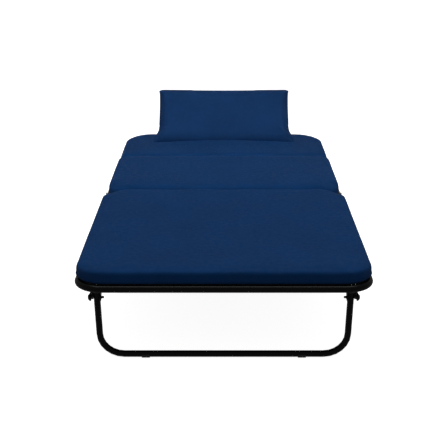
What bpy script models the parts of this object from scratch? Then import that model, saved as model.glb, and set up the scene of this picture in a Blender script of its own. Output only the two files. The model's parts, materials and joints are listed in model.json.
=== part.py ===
"""A twin rollaway guest bed that folds in half.

Two deck halves of bent steel tube hinge on a low undercarriage with four casters. Each half has a U-shaped
leg near its end, which two link rods keep upright as the half folds. A nested backrest lifts at the head.

X runs across the bed, Y along it with the foot end at -Y, and Z up from the floor. The origin is on the
floor at the bed's middle. All sizes are in metres.
"""

import math

import bmesh
import bpy
from mathutils import Matrix, Vector

# The whole bed
LENGTH = 1.905
WIDTH = 0.965
DECK_Z = 0.270  # height of the deck tubes' centres
GAP = 0.0003  # left between pieces that rest on each other

# Deck frames: bent tube with cross tubes, open towards the middle of the bed
RAIL_R = 0.0125
CROSS_R = 0.011
CORNER_R = 0.080
RAIL_X = WIDTH / 2 - RAIL_R
END_Y = LENGTH / 2 - RAIL_R
RAIL_END_Y = 0.050
FOLD_Y = 0.100  # the deck halves' fold pivots
MID_CROSS_Y = 0.455

# Steel slats across the rails
SLAT_WIDTH = 0.030
SLAT_THICKNESS = 0.003
SLAT_Z = DECK_Z + RAIL_R + GAP + SLAT_THICKNESS / 2
SLAT_HALF = 0.474
FOOT_SLATS_Y = (-0.150, -0.340, -0.560, -0.750)
SEAT_SLATS_Y = (0.150, 0.280, 0.400)
BACK_SLATS_Y = (0.610, 0.705, 0.790)
BACK_SLAT_HALF = 0.440

# Mattress panels
PAD_Z = DECK_Z + RAIL_R + SLAT_THICKNESS + 2 * GAP
PAD_TOP = 0.3313
PAD_HALF = 0.477
PAD_END_Y = 0.943
PAD_FOLD_Y = 0.010  # panel ends at the centre fold
PAD_EDGE_R = 0.014
PAD_FOLD_R = 0.028
PAD_CORNERS = (0.088, 0.105)  # in plan, at the foot and at the head
PAD_INNER_CORNER = 0.016
SEAT_END_Y = 0.512  # the seat panel's end at the top, and how far its bottom stands back
SEAT_END_TILT = -0.032
HEAD_START_Y = 0.518  # the same for the head panel, so that it clears the seat as it lifts
HEAD_START_TILT = 0.037

# Link geometry: each half's leg pivots on a deck cross tube, and its rods pivot below and outboard of that
LEG_PIVOT_Y = 0.871
LINK_OUT = 0.035  # from each deck pivot to its rod pivot, outwards and down
LINK_DOWN = 0.042
LINK_Z = DECK_Z - LINK_DOWN
LINK_BASE_Y = FOLD_Y + LINK_OUT
LINK_LEG_Y = LEG_PIVOT_Y + LINK_OUT
LINK_X = 0.4285
LINK_R = 0.006

# Legs
LEG_R = 0.011
LEG_TOP_X = 0.4070
LEG_FOOT_X = 0.4055
LEG_BEND_R = 0.078
LEG_FOOT_Y = 0.874
LEG_FOOT_Z = 0.0135
LEG_ABOVE_BOLT = 0.020
KNEE_X = (0.3940, 0.3990)
KNEE_PIVOT_R = 0.0150
EYE_R = 0.0125
FLOOR_PAD_X = 0.2575
FLOOR_PAD_WIDTH = 0.026

# Bolts: shanks, heads, spacers and nuts, and the running clearance of their holes
DECK_BOLT_R = 0.005
DECK_HEAD_R = 0.0095
DECK_HEAD_FACE_R = 0.0065
DECK_HEAD_EDGE = 0.0017
DECK_HEAD = 0.0037
DECK_SPACER_R = 0.0085
DECK_NUT_X = 0.4330
LINK_BOLT_R = 0.004
LINK_HEAD_R = 0.0070
LINK_NUT_X = 0.4510
LEG_HEAD_R = 0.0068
LEG_NUT_X = 0.3885
LEG_TIP_X = 0.3870
HEAD_FACE_R = 0.005
HEAD_EDGE = 0.0035
EYE_HALF = 0.0025  # half the thickness of a rod's eye
CLEARANCE = 0.0004

# Backrest and its ratchet hinges
BACK_HINGE_Y = 0.550
BACK_X = 0.430
BACK_R = 0.011
BACK_Z = DECK_Z + RAIL_R - BACK_R
BACK_END_Y = 0.825
BACK_CORNER_R = 0.060
BACK_CROSS_Y = 0.578
RATCHET_R = 0.0148
RATCHET_FIXED_X = (0.4522, 0.4572)
RATCHET_DISC_X = (0.4370, 0.4515)
RATCHET_ARM_Y = 0.495
RATCHET_ARM_HALF = 0.008

# Undercarriage
BASE_X = 0.430
BASE_Z = 0.080
BASE_R = 0.0125
BASE_HALF = 0.190
BASE_CROSS_Y = 0.110
PLATE_X = (0.4400, 0.4450)
PLATE_FOOT = (0.165, 0.070)
PLATE_INNER_Y = 0.0878

# Casters
CASTER_Y = 0.165
CASTER_TRAIL = 0.018
WHEEL_R = 0.025
FORK_TOP_Z = 0.056
FORK_HALF = 0.0145
FORK_PLATE = 0.002
BOSS_TOP_Z = 0.0665
STEM_TOP_Z = 0.086
STEM_R = 0.0054
AXLE_R = 0.003
FORK_FRONT_Y = -0.016
FORK_BACK_Y = 0.024
FORK_LIP = 0.001  # how far the top plate stands out past the cheeks
CHEEK_BOTTOM_R = 0.0078
BOSS_R = 0.0125
PEDAL_Y = 0.0275  # the pedal's hinge, from the swivel axis
PEDAL_Z = 0.0518
PEDAL_BARREL_R = 0.0025
AXLE_HEAD_R = 0.005
AXLE_HEAD = 0.003

# Pillow
PILLOW_HALF = 0.303
PILLOW_HEIGHT = 0.238
PILLOW_THICKNESS = 0.115
PILLOW_LEAN = math.radians(26)
PILLOW_FRONT_Y = 0.772

BLACK = (0.012, 0.012, 0.013)
NAVY = (0.010, 0.035, 0.108)


def clear_scene():
    """Remove every object, and start a collection for the bed."""
    for item in list(bpy.data.objects):
        bpy.data.objects.remove(item)
    collection = bpy.data.collections.new("rollaway_bed")
    bpy.context.scene.collection.children.link(collection)
    return collection


PARTS = clear_scene()


def material(name, color, roughness, metallic):
    """A Principled material for one node."""
    result = bpy.data.materials.new(name)
    result.use_nodes = True
    shader = result.node_tree.nodes["Principled BSDF"]
    shader.inputs["Base Color"].default_value = (*color, 1)
    shader.inputs["Roughness"].default_value = roughness
    shader.inputs["Metallic"].default_value = metallic
    return result


def steel(name):
    """Gloss black powder coat."""
    return material(name, BLACK, 0.3, 0.0)


def zinc(name):
    """Blackened zinc of the bolts and pins."""
    return material(name, (0.05, 0.05, 0.055), 0.35, 1.0)


def rubber(name):
    """Black rubber of the pads and tyres."""
    return material(name, (0.02, 0.02, 0.02), 0.75, 0.0)


def plastic(name):
    """Black moulded plastic."""
    return material(name, (0.03, 0.03, 0.032), 0.45, 0.0)


def fabric(name):
    """Navy polyester cover."""
    return material(name, NAVY, 0.85, 0.0)


def link_object(name, data):
    """Add an object to the bed's collection."""
    item = bpy.data.objects.new(name, data)
    PARTS.objects.link(item)
    return item


def as_mesh(item):
    """Turn a curve, or a mesh with modifiers, into a plain welded mesh object."""
    bpy.context.view_layer.update()
    evaluated = item.evaluated_get(bpy.context.evaluated_depsgraph_get())
    mesh = bpy.data.meshes.new_from_object(evaluated)
    form = bmesh.new()
    form.from_mesh(mesh)
    bmesh.ops.remove_doubles(form, verts=form.verts, dist=0.00001)
    bmesh.ops.recalc_face_normals(form, faces=form.faces)
    form.to_mesh(mesh)
    form.free()
    result = link_object(item.name, mesh)
    result.matrix_world = item.matrix_world
    bpy.data.objects.remove(item)
    return result


def tube(name, points, radius, resolution=4):
    """A round bar along a path, with flat caps."""
    data = bpy.data.curves.new(name, "CURVE")
    data.dimensions = "3D"
    data.bevel_depth = radius
    data.bevel_resolution = resolution
    data.use_fill_caps = True
    spline = data.splines.new("POLY")
    spline.points.add(len(points) - 1)
    for place, point in zip(spline.points, points):
        place.co = (*point, 1)
    return as_mesh(link_object(name, data))


def plate(name, outlines, x_range):
    """A flat plate square to X. Outlines are (y, z) loops, the first the edge and the rest holes."""
    data = bpy.data.curves.new(name, "CURVE")
    data.dimensions = "2D"
    data.fill_mode = "BOTH"
    data.extrude = (x_range[1] - x_range[0]) / 2
    for outline in outlines:
        spline = data.splines.new("POLY")
        spline.points.add(len(outline) - 1)
        for place, (y, z) in zip(spline.points, outline):
            place.co = (y, z, 0, 1)
        spline.use_cyclic_u = True
    item = link_object(name, data)
    turn = Matrix(((0, 0, 1, 0), (1, 0, 0, 0), (0, 1, 0, 0), (0, 0, 0, 1)))
    item.matrix_world = Matrix.Translation(((x_range[0] + x_range[1]) / 2, 0, 0)) @ turn
    result = as_mesh(item)
    result.data.transform(result.matrix_world)
    result.matrix_world = Matrix()
    return result


def turned(name, profile, steps, closed=False):
    """A turned piece about local Z: the profile's (radius, z) points run down its outer side."""
    count = len(profile)
    edges = [(i, (i + 1) % count) for i in range(count if closed else count - 1)]
    mesh = bpy.data.meshes.new(name)
    mesh.from_pydata([(radius, 0, z) for radius, z in profile], edges, [])
    item = link_object(name, mesh)
    screw = item.modifiers.new("turn", "SCREW")
    screw.steps = steps
    screw.render_steps = steps
    screw.use_merge_vertices = True
    screw.merge_threshold = 0.00005
    return as_mesh(item)


def along_x(item, point, direction=1):
    """Lay a piece turned about Z along X, with its local +Z towards direction."""
    turn = Matrix.Rotation(math.radians(90 * direction), 4, "Y")
    item.data.transform(Matrix.Translation(point) @ turn)
    return item


def cylinder(name, radius, start, end, steps=12):
    """A plain cylinder from one point to another."""
    start, end = Vector(start), Vector(end)
    span = end - start
    item = turned(name, [(0, span.length), (radius, span.length), (radius, 0), (0, 0)], steps)
    turn = Vector((0, 0, 1)).rotation_difference(span).to_matrix().to_4x4()
    item.data.transform(Matrix.Translation(start) @ turn)
    return item


def box(name, low, high):
    """A plain box between two corners."""
    bpy.ops.mesh.primitive_cube_add(size=1)
    item = bpy.context.active_object
    item.name = name
    low, high = Vector(low), Vector(high)
    item.data.transform(Matrix.Translation((low + high) / 2) @ Matrix.Diagonal((*(high - low), 1)))
    for owner in list(item.users_collection):
        owner.objects.unlink(item)
    PARTS.objects.link(item)
    return item


def combine(body, tools, operation):
    """Join tools to a body with UNION, or cut them from it with DIFFERENCE."""
    for tool in tools:
        boolean = body.modifiers.new("combine", "BOOLEAN")
        boolean.operation = operation
        boolean.solver = "EXACT"
        boolean.object = tool
    result = as_mesh(body)
    for tool in tools:
        bpy.data.objects.remove(tool)
    return result


def drill(body, radius, start, end):
    """Cut a round hole from one point to another."""
    return combine(body, [cylinder("drill", radius, start, end)], "DIFFERENCE")


def finish(name, item, look, parent):
    """Name a node, give it its material and smooth shading, and hang it from its body's axis."""
    item.name = name
    item.data.name = name
    item.data.materials.clear()
    item.data.materials.append(look(name))
    item.data.shade_smooth()
    item.data.set_sharp_from_angle(angle=math.radians(35))
    hang(item, parent)
    return item


def hang(item, parent):
    """Parent an object to an empty without moving it."""
    bpy.context.view_layer.update()
    item.parent = parent
    item.matrix_parent_inverse = parent.matrix_world.inverted()


def axis_empty(name, point, parent=None):
    """An empty on a body's joint axis, which carries that body's nodes."""
    empty = link_object(name + "_axis", None)
    empty.location = point
    if parent:
        hang(empty, parent)
    return empty


def arc(center, radius, start, end, steps):
    """Points on an arc, with angles in degrees from the first coordinate's axis."""
    angles = [math.radians(start + (end - start) * i / steps) for i in range(steps + 1)]
    return [(center[0] + radius * math.cos(a), center[1] + radius * math.sin(a)) for a in angles]


def circle(center, radius, steps=20):
    """A closed round outline."""
    return arc(center, radius, 0, 360 * (steps - 1) / steps, steps - 1)


def inset(radius, z, low, high, low_radius):
    """How far a rounded side stands back at height z, for its top edge's radius and the bottom edge's."""
    if z > high - radius:
        return radius - math.sqrt(max(radius**2 - (z - high + radius) ** 2, 0))
    if z < low + low_radius:
        return low_radius - math.sqrt(max(low_radius**2 - (low + low_radius - z) ** 2, 0))
    return 0


def pad(name, half_width, y_range, corners, edges, tilts=(0, 0), steps=4):
    """A mattress panel: rounded corners in plan at each end, and rounded edges.

    corners, edges and tilts hold the near (-Y) end's value and the far (+Y) end's. The long sides have
    PAD_EDGE_R. A tilt is how far the end's bottom stands from its top.
    """
    low, high = PAD_Z, PAD_TOP
    under = PAD_EDGE_R * 0.7
    biggest = max(*edges, PAD_EDGE_R)
    quarter = [math.pi / 2 * i / steps for i in range(steps + 1)]
    levels = [low + under * (1 - math.cos(a)) for a in quarter[:3] + quarter[-1:]]
    levels += [high - biggest * (1 - math.sin(a)) for a in quarter]
    form = bmesh.new()
    rings = []
    for z in sorted(set(levels)):
        side = half_width - inset(PAD_EDGE_R, z, low, high, under)
        depth = (high - z) / (high - low)
        near = y_range[0] + tilts[0] * depth + inset(edges[0], z, low, high, under)
        far = y_range[1] + tilts[1] * depth - inset(edges[1], z, low, high, under)
        outline = []
        for radius, y, sign_x, sign_y, start in (
            (corners[0], near, -1, -1, 180),
            (corners[0], near, 1, -1, 270),
            (corners[1], far, 1, 1, 0),
            (corners[1], far, -1, 1, 90),
        ):
            center = (sign_x * (side - radius), y - sign_y * radius)
            outline += arc(center, radius, start, start + 90, steps + 1)
        rings.append([form.verts.new((x, y, z)) for x, y in outline])
    for below, above in zip(rings, rings[1:]):
        for i, corner in enumerate(below):
            j = (i + 1) % len(below)
            form.faces.new((corner, below[j], above[j], above[i]))
    form.faces.new(reversed(rings[0]))
    form.faces.new(rings[-1])
    mesh = bpy.data.meshes.new(name)
    form.to_mesh(mesh)
    form.free()
    return link_object(name, mesh)


def deck_frame(end):
    """One deck half's frame, at the foot (end -1) or the head (end 1)."""
    corner = RAIL_X - CORNER_R, END_Y - CORNER_R
    half = [(RAIL_X, RAIL_END_Y)] + arc(corner, CORNER_R, 0, 90, 6)
    path = half + [(-x, y) for x, y in reversed(half)]
    frame = tube("frame", [(x, end * y, DECK_Z) for x, y in path], RAIL_R)
    reach = RAIL_X - RAIL_R + 0.004
    crosses = []
    for y in (LEG_PIVOT_Y, MID_CROSS_Y):
        crosses.append(cylinder("cross", CROSS_R, (-reach, end * y, DECK_Z), (reach, end * y, DECK_Z), 20))
    frame = combine(frame, crosses, "UNION")
    for side in (-1, 1):
        ends = [(side * (RAIL_X + shift), end * FOLD_Y, DECK_Z) for shift in (-0.02, 0.02)]
        frame = drill(frame, DECK_BOLT_R + CLEARANCE, *ends)
    return frame


def slat(y, half_length):
    """One flat steel slat across the deck."""
    low = -half_length, y - SLAT_WIDTH / 2, SLAT_Z - SLAT_THICKNESS / 2
    high = half_length, y + SLAT_WIDTH / 2, SLAT_Z + SLAT_THICKNESS / 2
    return box("slat", low, high)


def leg_point(end, x, height):
    """A point on a leg's leaning plane, at a height along the leg above its rail."""
    lean = math.atan2(LINK_LEG_Y - LEG_FOOT_Y, LINK_Z - LEG_FOOT_Z)
    return x, end * (LEG_FOOT_Y + height * math.sin(lean)), LEG_FOOT_Z + height * math.cos(lean)


def knee(end, side):
    """The plate that carries a leg on the deck's end cross tube."""
    pivot = LEG_PIVOT_Y, DECK_Z
    outline = arc(pivot, KNEE_PIVOT_R, 45, 225, 8) + arc((LINK_LEG_Y, LINK_Z), EYE_R, 225, 405, 6)
    loops = [outline, circle(pivot, CROSS_R + 2 * CLEARANCE, 20)]
    loops = [[(end * y, z) for y, z in loop] for loop in loops]
    return plate("knee", loops, sorted(side * x for x in KNEE_X))


def leg_frame(end):
    """A U-shaped leg with a knee plate at each top."""
    reach = math.hypot(LINK_LEG_Y - LEG_FOOT_Y, LINK_Z - LEG_FOOT_Z)
    corner = LEG_FOOT_X - LEG_BEND_R, LEG_BEND_R
    half = [(LEG_TOP_X, reach + LEG_ABOVE_BOLT)] + arc(corner, LEG_BEND_R, 0, -90, 6)
    path = half + [(-x, height) for x, height in reversed(half)]
    leg = tube("leg", [leg_point(end, x, height) for x, height in path], LEG_R)
    leg = combine(leg, [knee(end, -1), knee(end, 1)], "UNION")
    for side in (-1, 1):
        ends = [(side * x, end * LINK_LEG_Y, LINK_Z) for x in (0.385, 0.430)]
        leg = drill(leg, LINK_BOLT_R + CLEARANCE, *ends)
    return leg


def floor_pad(end, side):
    """A rubber saddle under a leg's rail."""
    center = end * LEG_FOOT_Y, LEG_FOOT_Z
    outline = arc(center, LEG_FOOT_Z, 170, 370, 8) + arc(center, LEG_R + 2 * GAP, 370, 170, 8)
    middle = side * FLOOR_PAD_X
    return plate("pad", [outline], (middle - FLOOR_PAD_WIDTH / 2, middle + FLOOR_PAD_WIDTH / 2))


def link_rod(end, side):
    """A rod from the undercarriage to a leg, with a flat eye at each end."""
    inner, outer = LINK_BASE_Y + 0.008, LINK_LEG_Y - 0.008
    rod = cylinder("rod", LINK_R, (side * LINK_X, end * inner, LINK_Z), (side * LINK_X, end * outer, LINK_Z))
    x_range = sorted(side * x for x in (LINK_X - EYE_HALF, LINK_X + EYE_HALF))
    eyes = []
    for y in (LINK_BASE_Y, LINK_LEG_Y):
        eye = circle((end * y, LINK_Z), EYE_R, 14), circle((end * y, LINK_Z), LINK_BOLT_R + CLEARANCE, 10)
        eyes.append(plate("eye", eye, x_range))
    return combine(rod, eyes, "UNION")


def bolt(end, side, y, z, profile):
    """A turned bolt across the bed. The profile's heights are distances from the bed's middle."""
    return along_x(turned("bolt", profile, 10), (0, end * y, z), side)


def deck_bolt(end, side):
    """The fold pivot: a domed head outside the rail, a spacer, and a nut inside the hinge plate."""
    shank, wide = DECK_BOLT_R, DECK_SPACER_R
    outer, inner = WIDTH / 2 + GAP, RAIL_X - RAIL_R - GAP
    profile = [(0, outer + DECK_HEAD), (DECK_HEAD_FACE_R, outer + DECK_HEAD)]
    profile += [(DECK_HEAD_R, outer + DECK_HEAD_EDGE), (DECK_HEAD_R, outer)]
    profile += [(shank, outer), (shank, inner), (wide, inner), (wide, PLATE_X[1] + GAP)]
    profile += [(shank, PLATE_X[1] + GAP), (shank, PLATE_X[0] - GAP), (wide, PLATE_X[0] - GAP)]
    profile += [(wide, DECK_NUT_X), (0, DECK_NUT_X)]
    return bolt(end, side, FOLD_Y, DECK_Z, profile)


def link_bolt(end, side):
    """The rod's pivot on the hinge plate: head inboard of the rod, a spacer, and a nut outside the plate."""
    shank, wide = LINK_BOLT_R, LINK_HEAD_R
    eye = LINK_X - EYE_HALF - GAP, LINK_X + EYE_HALF + GAP
    profile = [(0, LINK_NUT_X), (wide, LINK_NUT_X), (wide, PLATE_X[1] + GAP)]
    profile += [(shank, PLATE_X[1] + GAP), (shank, PLATE_X[0] - GAP), (wide, PLATE_X[0] - GAP)]
    profile += [(wide, eye[1]), (shank, eye[1]), (shank, eye[0]), (wide, eye[0])]
    face = eye[0] - HEAD_EDGE - 0.001
    profile += [(wide, eye[0] - HEAD_EDGE), (HEAD_FACE_R, face), (0, face)]
    return bolt(end, side, LINK_BASE_Y, LINK_Z, profile)


def leg_bolt(end, side):
    """The rod's pivot on the leg: head outboard, a spacer, and a nut inside the knee plate."""
    shank, wide = LINK_BOLT_R, LEG_HEAD_R
    eye = LINK_X - EYE_HALF - GAP, LINK_X + EYE_HALF + GAP
    spacer = LEG_TOP_X + LEG_R + 0.0007
    face = eye[1] + HEAD_EDGE + 0.0015
    profile = [(0, face), (HEAD_FACE_R, face), (wide, eye[1] + HEAD_EDGE), (wide, eye[1])]
    profile += [(shank, eye[1]), (shank, eye[0]), (wide, eye[0]), (wide, spacer), (shank, spacer)]
    profile += [(shank, KNEE_X[0] - GAP), (wide, KNEE_X[0] - GAP), (wide, LEG_NUT_X), (shank, LEG_NUT_X)]
    profile += [(shank, LEG_TIP_X), (0, LEG_TIP_X)]
    return bolt(end, side, LINK_LEG_Y, LINK_Z, profile)


def base_side(side):
    """One side of the undercarriage: a tube on two casters, with a plate that rises to the pivots."""
    center = side * BASE_X
    frame = cylinder("side", BASE_R, (center, -BASE_HALF, BASE_Z), (center, BASE_HALF, BASE_Z), 16)
    fold, link = (FOLD_Y, DECK_Z), (LINK_BASE_Y, LINK_Z)
    half = [PLATE_FOOT, (0.158, 0.100)] + arc(link, EYE_R, 0, 45, 3)
    half += arc(fold, FOLD_Y - PLATE_INNER_Y, 45, 180, 6) + [(PLATE_INNER_Y, 0.150), (0.060, 0.108)]
    outline = half + [(-y, z) for y, z in reversed(half)]
    frame = combine(frame, [plate("plate", [outline], sorted(side * x for x in PLATE_X))], "UNION")
    for end in (-1, 1):
        for (y, z), radius in ((fold, DECK_BOLT_R), (link, LINK_BOLT_R)):
            ends = [(side * x, end * y, z) for x in (PLATE_X[0] - 0.01, PLATE_X[1] + 0.01)]
            frame = drill(frame, radius + CLEARANCE, *ends)
        foot = center, end * CASTER_Y
        frame = drill(frame, STEM_R + CLEARANCE, (*foot, 0.060), (*foot, STEM_TOP_Z + 0.002))
    return frame


def base_cross(end):
    """A cross tube between the undercarriage's sides."""
    reach, y = BASE_X - BASE_R - GAP, end * BASE_CROSS_Y
    return cylinder("cross", CROSS_R, (-reach, y, BASE_Z), (reach, y, BASE_Z))


def caster_fork():
    """A fork with its stem, about a swivel axis at the origin, trailing towards +Y."""
    axle = CASTER_TRAIL, WHEEL_R
    wide, inside = FORK_HALF + FORK_LIP, FORK_TOP_Z - FORK_LIP
    fork = box("fork", (-wide, FORK_FRONT_Y, FORK_TOP_Z - 0.0025), (wide, FORK_BACK_Y, FORK_TOP_Z))
    cheek = [(-0.014, inside), (-0.012, 0.048)] + arc(axle, CHEEK_BOTTOM_R, 205, 360, 6)
    cheek += [(0.030, 0.046), (0.030, inside)]
    hole = circle(axle, AXLE_R + CLEARANCE, 12)
    tools = []
    for side in (-1, 1):
        x_range = sorted((side * FORK_HALF, side * (FORK_HALF - FORK_PLATE)))
        tools.append(plate("cheek", [cheek, hole], x_range))
    tools.append(cylinder("boss", BOSS_R, (0, 0, inside), (0, 0, BOSS_TOP_Z)))
    tools.append(cylinder("stem", STEM_R, (0, 0, BOSS_TOP_Z - 0.001), (0, 0, STEM_TOP_Z)))
    return combine(fork, tools, "UNION")


def caster_wheel():
    """A wheel with a rounded tread and a hub, on its axle's line."""
    outer = [(0.0230, 0.0095), (WHEEL_R, 0.0060)]
    hub = [(0.0085, 0.0085), (AXLE_R + CLEARANCE, 0.0105)]
    profile = outer + [(r, -z) for r, z in reversed(outer)] + [(r, -z) for r, z in hub]
    wheel = turned("wheel", profile + list(reversed(hub)), 20, closed=True)
    return along_x(wheel, (0, CASTER_TRAIL, WHEEL_R))


def caster_axle():
    """The axle bolt, with a head and a nut outside the fork."""
    wide, face = AXLE_HEAD_R, FORK_HALF + GAP
    half = [(0, face + AXLE_HEAD), (wide, face + AXLE_HEAD), (wide, face), (AXLE_R, face)]
    axle = turned("axle", half + [(r, -z) for r, z in reversed(half)], 10)
    return along_x(axle, (0, CASTER_TRAIL, WHEEL_R))


def brake_pedal():
    """A pedal with a round hinge between the fork's cheeks and a tongue behind it."""
    half = FORK_HALF - FORK_PLATE - GAP
    barrel = arc((PEDAL_Y, PEDAL_Z), PEDAL_BARREL_R, 80, 290, 8)
    tongue = [(0.046, 0.0520), (0.056, 0.0580), (0.056, 0.0610), (0.045, 0.0550)]
    return plate("pedal", [barrel + tongue], (-half, half))


def ratchet(side):
    """The fixed half of a ratchet hinge: a disc on an arm beside the rail, with the hinge pin."""
    hinge = BACK_HINGE_Y, DECK_Z
    outline = arc(hinge, RATCHET_R, -90, 90, 10)
    for rise in (RATCHET_ARM_HALF, -RATCHET_ARM_HALF):
        ends = (RATCHET_ARM_Y + 0.020, RATCHET_ARM_Y)
        outline += [(y, DECK_Z + rise) for y in (ends if rise > 0 else reversed(ends))]
    fixed = plate("ratchet", [outline], sorted(side * x for x in RATCHET_FIXED_X))
    pin = cylinder("pin", DECK_BOLT_R, (side * 0.4550, *hinge), (side * 0.4450, *hinge))
    return combine(fixed, [pin], "UNION")


def backrest_frame():
    """A bent tube nested in the head deck, with a ratchet disc on each side."""
    corner = BACK_X - BACK_CORNER_R, BACK_END_Y - BACK_CORNER_R
    half = [(BACK_X, BACK_HINGE_Y - 0.005)] + arc(corner, BACK_CORNER_R, 0, 90, 6)
    path = half + [(-x, y) for x, y in reversed(half)]
    frame = tube("backrest", [(x, y, BACK_Z) for x, y in path], BACK_R)
    reach = BACK_X - BACK_R + 0.004
    tools = [cylinder("cross", 0.009, (-reach, BACK_CROSS_Y, BACK_Z), (reach, BACK_CROSS_Y, BACK_Z))]
    hinge = BACK_HINGE_Y, DECK_Z
    for side in (-1, 1):
        tools.append(plate("disc", [circle(hinge, RATCHET_R)], sorted(side * x for x in RATCHET_DISC_X)))
    frame = combine(frame, tools, "UNION")
    for side in (-1, 1):
        frame = drill(frame, DECK_BOLT_R + CLEARANCE, (side * 0.4440, *hinge), (side * 0.4600, *hinge))
    return frame


def pillow():
    """A pillow standing on the head panel and leaning back: two crowned sheets that meet at a seam."""
    across, up = 14, 8
    form = bmesh.new()
    sheets = []
    for face in (-1, 1):
        grid = {}
        for i in range(across + 1):
            for j in range(up + 1):
                u, v = 2 * i / across - 1, 2 * j / up - 1
                rim = abs(u) == 1 or abs(v) == 1
                if rim and sheets:
                    grid[i, j] = sheets[0][i, j]
                    continue
                swell = 0 if rim else ((1 - u**4) * (1 - v**4)) ** 0.5
                x = u * PILLOW_HALF * (1 - 0.03 * (1 - v**2))
                height = v * PILLOW_HEIGHT / 2 * (1 - 0.04 * (1 - u**2))
                depth = face * PILLOW_THICKNESS / 2 * swell
                grid[i, j] = form.verts.new((x, depth, height))
        sheets.append(grid)
        for i in range(across):
            for j in range(up):
                loop = [grid[i, j], grid[i + 1, j], grid[i + 1, j + 1], grid[i, j + 1]]
                form.faces.new(loop if face < 0 else reversed(loop))
    bmesh.ops.rotate(form, verts=form.verts, matrix=Matrix.Rotation(-PILLOW_LEAN, 3, "X"))
    front = min(vertex.co.y for vertex in form.verts)
    bottom = min(vertex.co.z for vertex in form.verts)
    bmesh.ops.translate(form, verts=form.verts, vec=(0, PILLOW_FRONT_Y - front, PAD_TOP + GAP - bottom))
    mesh = bpy.data.meshes.new("pillow")
    form.to_mesh(mesh)
    form.free()
    return link_object("pillow", mesh)


def build_base():
    """The undercarriage, which every other body hangs from."""
    base = axis_empty("base", (0, 0, 0))
    for side, side_name in ((-1, "left"), (1, "right")):
        finish(f"base_side_{side_name}", base_side(side), steel, base)
        for end, end_name in ((-1, "foot"), (1, "head")):
            finish(f"{end_name}_deck_bolt_{side_name}", deck_bolt(end, side), zinc, base)
            finish(f"{end_name}_link_bolt_{side_name}", link_bolt(end, side), zinc, base)
    for end, end_name in ((-1, "foot"), (1, "head")):
        finish(f"base_cross_tube_{end_name}", base_cross(end), steel, base)
    return base


def build_casters(base):
    """Four casters that trail outwards, with brake pedals on the foot pair."""
    fork, wheel, axle, pedal = caster_fork(), caster_wheel(), caster_axle(), brake_pedal()
    for end, end_name in ((-1, "foot"), (1, "head")):
        turn = Matrix.Rotation(math.pi if end < 0 else 0, 4, "Z")
        for side, side_name in ((-1, "left"), (1, "right")):
            place = Matrix.Translation((side * BASE_X, end * CASTER_Y, 0)) @ turn
            name = f"caster_{end_name}_{side_name}"
            swivel = axis_empty(f"{name}_swivel", place.translation, base)
            spin = axis_empty(f"{name}_spin", place @ Vector((0, CASTER_TRAIL, WHEEL_R)), swivel)
            pieces = [("fork", fork, steel, swivel), ("axle", axle, zinc, swivel)]
            pieces.append(("wheel", wheel, rubber, spin))
            if end < 0:
                hinge = axis_empty(f"{name}_brake", place @ Vector((0, PEDAL_Y, PEDAL_Z)), swivel)
                pieces.append(("brake_pedal", pedal, plastic, hinge))
            for kind, model, look, parent in pieces:
                copy = link_object(kind, model.data.copy())
                copy.matrix_world = place
                finish(f"{name}_{kind}", copy, look, parent)
    for model in (fork, wheel, axle, pedal):
        bpy.data.objects.remove(model)


def build_leg(end, end_name, deck, base):
    """A leg with its floor pads and bolts, and the link rods that guide it."""
    leg = axis_empty(f"{end_name}_leg", (0, end * LEG_PIVOT_Y, DECK_Z), deck)
    links = axis_empty(f"{end_name}_links", (0, end * LINK_BASE_Y, LINK_Z), base)
    finish(f"{end_name}_leg", leg_frame(end), steel, leg)
    for side, side_name in ((-1, "left"), (1, "right")):
        finish(f"{end_name}_floor_pad_{side_name}", floor_pad(end, side), rubber, leg)
        finish(f"{end_name}_leg_bolt_{side_name}", leg_bolt(end, side), zinc, leg)
        finish(f"{end_name}_link_rod_{side_name}", link_rod(end, side), steel, links)


def build_foot(base):
    """The foot half: frame, slats, mattress panel and leg."""
    deck = axis_empty("foot_deck", (0, -FOLD_Y, DECK_Z), base)
    finish("foot_frame", deck_frame(-1), steel, deck)
    for number, y in enumerate(FOOT_SLATS_Y, 1):
        finish(f"foot_slat_{number}", slat(y, SLAT_HALF), steel, deck)
    corners, edges = (PAD_CORNERS[0], PAD_INNER_CORNER), (PAD_EDGE_R, PAD_FOLD_R)
    panel = pad("panel", PAD_HALF, (-PAD_END_Y, -PAD_FOLD_Y), corners, edges)
    finish("foot_mattress", panel, fabric, deck)
    build_leg(-1, "foot", deck, base)


def build_head(base):
    """The head half: frame, seat slats and panel, leg, backrest and pillow."""
    deck = axis_empty("head_deck", (0, FOLD_Y, DECK_Z), base)
    finish("head_frame", deck_frame(1), steel, deck)
    for number, y in enumerate(SEAT_SLATS_Y, 1):
        finish(f"seat_slat_{number}", slat(y, SLAT_HALF), steel, deck)
    corners, edges = (PAD_INNER_CORNER, PAD_INNER_CORNER), (PAD_FOLD_R, PAD_EDGE_R)
    panel = pad("panel", PAD_HALF, (PAD_FOLD_Y, SEAT_END_Y), corners, edges, (0, SEAT_END_TILT))
    finish("seat_mattress", panel, fabric, deck)
    for side, side_name in ((-1, "left"), (1, "right")):
        finish(f"ratchet_hinge_{side_name}", ratchet(side), zinc, deck)
    build_leg(1, "head", deck, base)
    build_backrest(deck)


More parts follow.
